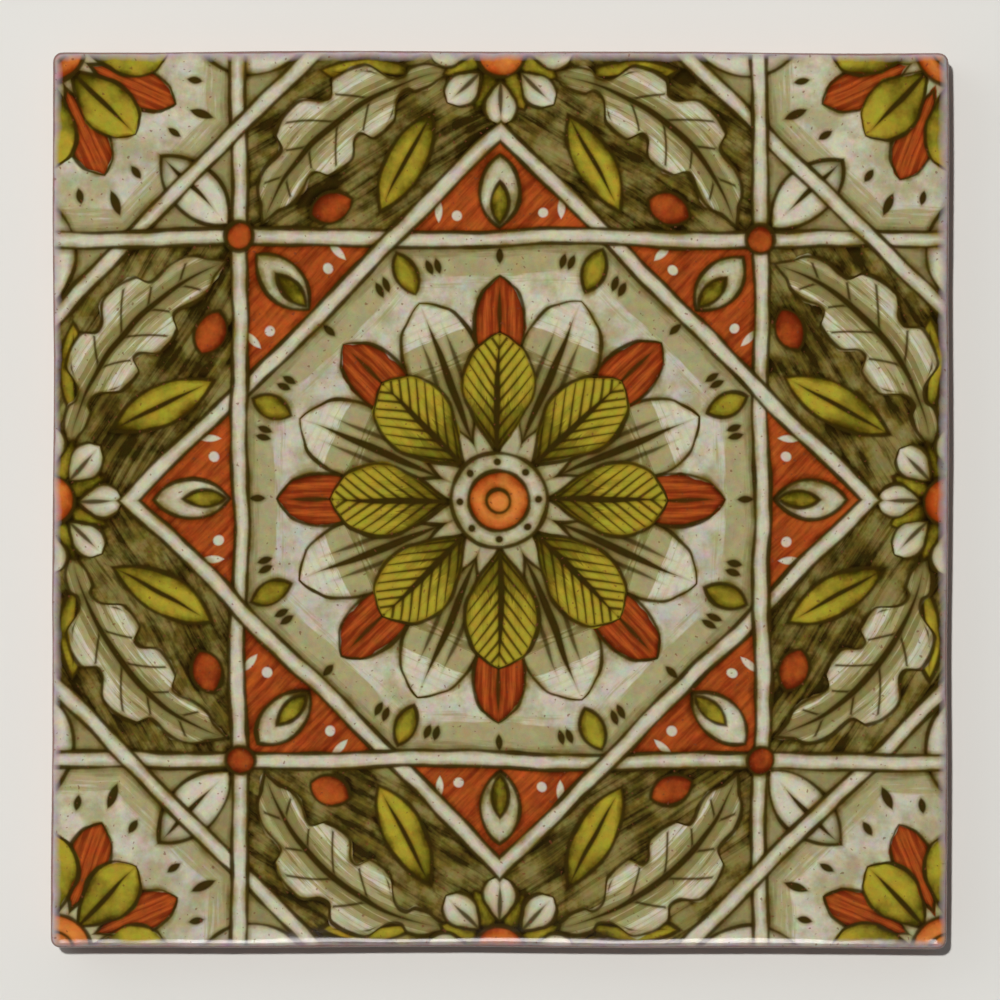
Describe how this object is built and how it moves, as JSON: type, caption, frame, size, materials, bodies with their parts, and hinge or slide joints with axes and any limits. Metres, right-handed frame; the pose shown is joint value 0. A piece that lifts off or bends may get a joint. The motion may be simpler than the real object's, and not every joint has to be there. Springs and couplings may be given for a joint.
{
  "type": "handmade clay tile",
  "caption": "Square hand-cut clay tile, tin-glazed and painted on its face, with soft rolled edges, rounded corners and a flat bare back.",
  "frame": {"origin": "middle of the flat back, on the surface that the tile lies on", "axes": "+Z out of the glazed face, +X and +Y along the two sides of the square"},
  "size_m": [0.2006, 0.2006, 0.012],
  "materials": {
    "painted_glaze": "gloss"
  },
  "bodies": {
    "root": {"tile": "painted_glaze"}
  },
  "joints": []
}
